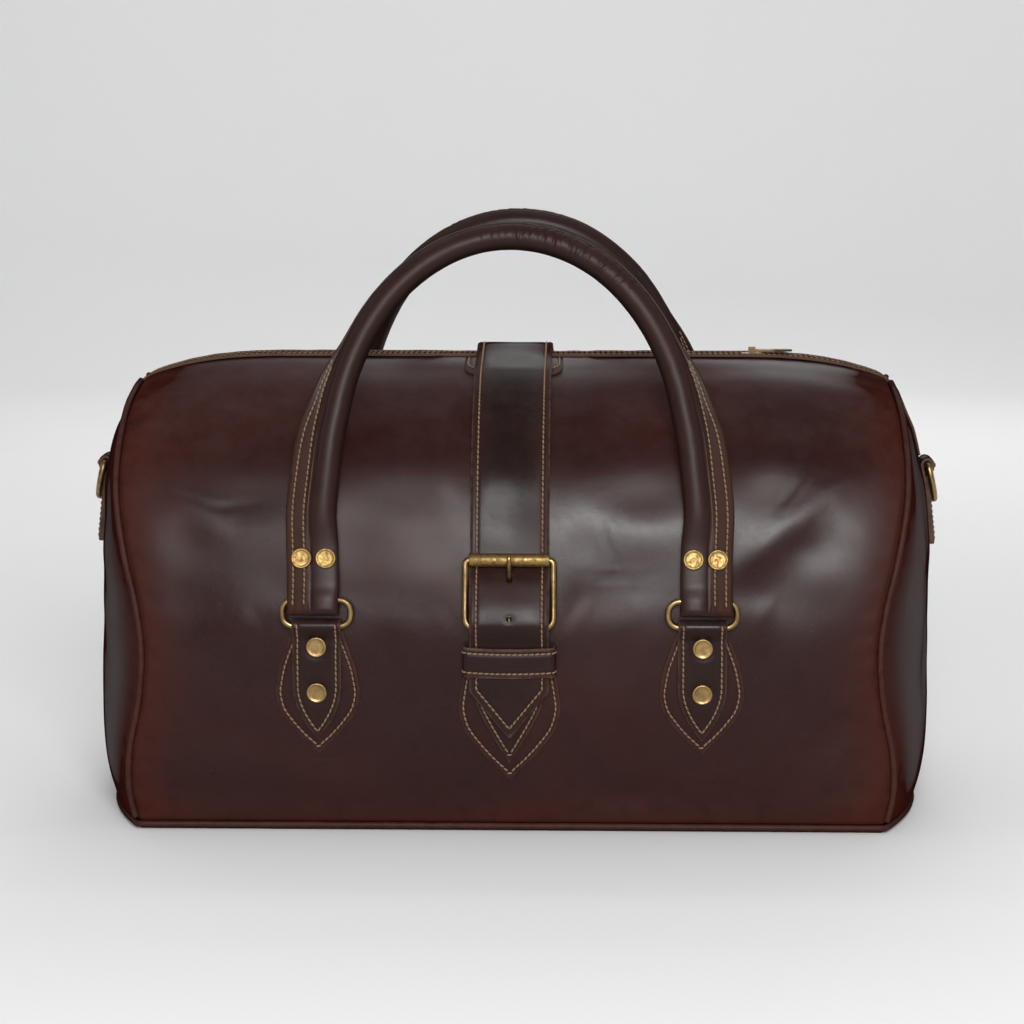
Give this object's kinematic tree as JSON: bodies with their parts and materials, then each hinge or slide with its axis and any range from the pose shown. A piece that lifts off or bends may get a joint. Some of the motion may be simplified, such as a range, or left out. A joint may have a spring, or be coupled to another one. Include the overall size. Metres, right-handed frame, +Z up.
{
  "type": "leather travel bag",
  "caption": "Leather holdall with rolled handles on oval rings, a belt with a roller buckle over the middle, a zip mouth and D-rings on its ends.",
  "frame": {"origin": "centre of the base's flat underside, on the surface that the bag stands on", "axes": "+X along the bag to its right end, +Y to the back, away from the buckle, +Z up"},
  "size_m": [0.5084, 0.2773, 0.3501],
  "materials": {
    "leather": "waxed red-brown pull-up leather, semi-gloss",
    "handle_leather": "rolled leather, semi-gloss",
    "belt_leather": "darker leather, semi-gloss",
    "edge_leather": "folded leather edge, worn brown",
    "brass": "antique brass",
    "zip_tape": "woven tape, matt",
    "board": "fibreboard, matt"
  },
  "bodies": {
    "bag": {"front_panel": "leather", "back_panel": "leather", "left_end_panel": "leather", "right_end_panel": "leather", "base_panel": "leather", "base_board": "board", "left_front_piping": "leather", "left_back_piping": "leather", "right_front_piping": "leather", "right_back_piping": "leather", "base_piping": "leather", "front_zip_binding": "edge_leather", "back_zip_binding": "edge_leather", "zip_tape": "zip_tape", "zip_teeth": "brass", "belt_strap": "belt_leather", "belt_mouth_patch": "leather", "belt_shield_patch": "leather", "belt_keeper": "belt_leather", "buckle_chape": "belt_leather", "buckle_frame": "brass", "left_ring_tab": "leather", "right_ring_tab": "leather", "front_left_patch": "leather", "front_left_chape": "leather", "front_left_upper_rivet": "brass", "front_left_lower_rivet": "brass", "front_right_patch": "leather", "front_right_chape": "leather", "front_right_upper_rivet": "brass", "front_right_lower_rivet": "brass", "back_left_patch": "leather", "back_left_chape": "leather", "back_left_upper_rivet": "brass", "back_left_lower_rivet": "brass", "back_right_patch": "leather", "back_right_chape": "leather", "back_right_upper_rivet": "brass", "back_right_lower_rivet": "brass"},
    "front_left_ring_body": {"front_left_ring": "brass"},
    "front_right_ring_body": {"front_right_ring": "brass"},
    "front_handle_body": {"front_handle": "handle_leather", "front_left_handle_inner_rivet": "brass", "front_left_handle_outer_rivet": "brass", "front_right_handle_inner_rivet": "brass", "front_right_handle_outer_rivet": "brass"},
    "back_left_ring_body": {"back_left_ring": "brass"},
    "back_right_ring_body": {"back_right_ring": "brass"},
    "back_handle_body": {"back_handle": "handle_leather", "back_left_handle_inner_rivet": "brass", "back_left_handle_outer_rivet": "brass", "back_right_handle_inner_rivet": "brass", "back_right_handle_outer_rivet": "brass"},
    "left_d_ring_body": {"left_d_ring": "brass"},
    "right_d_ring_body": {"right_d_ring": "brass"},
    "zip_slider_body": {"zip_slider": "brass"},
    "zip_pull_body": {"zip_pull": "brass"},
    "buckle_roller_body": {"buckle_roller": "brass"},
    "buckle_prong_body": {"buckle_prong": "brass"}
  },
  "joints": [
    {"name": "front_left_ring_swing", "type": "hinge", "parent": "bag", "child": "front_left_ring_body", "pos_m": [-0.1095, -0.13132, 0.12299], "axis": [1, 0, 0], "range_deg": [0, 80]},
    {"name": "front_right_ring_swing", "type": "hinge", "parent": "bag", "child": "front_right_ring_body", "pos_m": [0.1095, -0.13132, 0.12299], "axis": [1, 0, 0], "range_deg": [0, 80]},
    {"name": "front_handle_swing", "type": "hinge", "parent": "front_left_ring_body", "child": "front_handle_body", "pos_m": [0, -0.13132, 0.13799], "axis": [1, 0, 0], "range_deg": [0, 50]},
    {"name": "back_left_ring_swing", "type": "hinge", "parent": "bag", "child": "back_left_ring_body", "pos_m": [-0.1095, 0.13132, 0.12299], "axis": [-1, 0, 0], "range_deg": [0, 80]},
    {"name": "back_right_ring_swing", "type": "hinge", "parent": "bag", "child": "back_right_ring_body", "pos_m": [0.1095, 0.13132, 0.12299], "axis": [-1, 0, 0], "range_deg": [0, 80]},
    {"name": "back_handle_swing", "type": "hinge", "parent": "back_left_ring_body", "child": "back_handle_body", "pos_m": [0, 0.13132, 0.13799], "axis": [-1, 0, 0], "range_deg": [0, 50]},
    {"name": "left_d_ring_swing", "type": "hinge", "parent": "bag", "child": "left_d_ring_body", "pos_m": [-0.24764, 0, 0.20096], "axis": [0, 1, 0], "range_deg": [0, 160]},
    {"name": "right_d_ring_swing", "type": "hinge", "parent": "bag", "child": "right_d_ring_body", "pos_m": [0.24764, 0, 0.20096], "axis": [0, -1, 0], "range_deg": [0, 160]},
    {"name": "zip_slide", "type": "slide", "parent": "bag", "child": "zip_slider_body", "axis": [-1, 0, 0], "range_m": [0, 0.092]},
    {"name": "zip_pull_flip", "type": "hinge", "parent": "zip_slider_body", "child": "zip_pull_body", "pos_m": [0.142, 0, 0.269], "axis": [0, -1, 0], "range_deg": [0, 150]},
    {"name": "buckle_roller_turn", "type": "hinge", "parent": "bag", "child": "buckle_roller_body", "pos_m": [0, -0.12891, 0.16088], "axis": [1, 0, 0], "continuous": true},
    {"name": "buckle_prong_play", "type": "hinge", "parent": "bag", "child": "buckle_prong_body", "pos_m": [0, -0.13396, 0.12253], "axis": [1, 0, 0], "range_deg": [0, 2]}
  ],
  "couplings": [
    {"joint": "front_right_ring_swing", "follows": "front_left_ring_swing", "ratio": 1},
    {"joint": "back_right_ring_swing", "follows": "back_left_ring_swing", "ratio": 1}
  ]
}
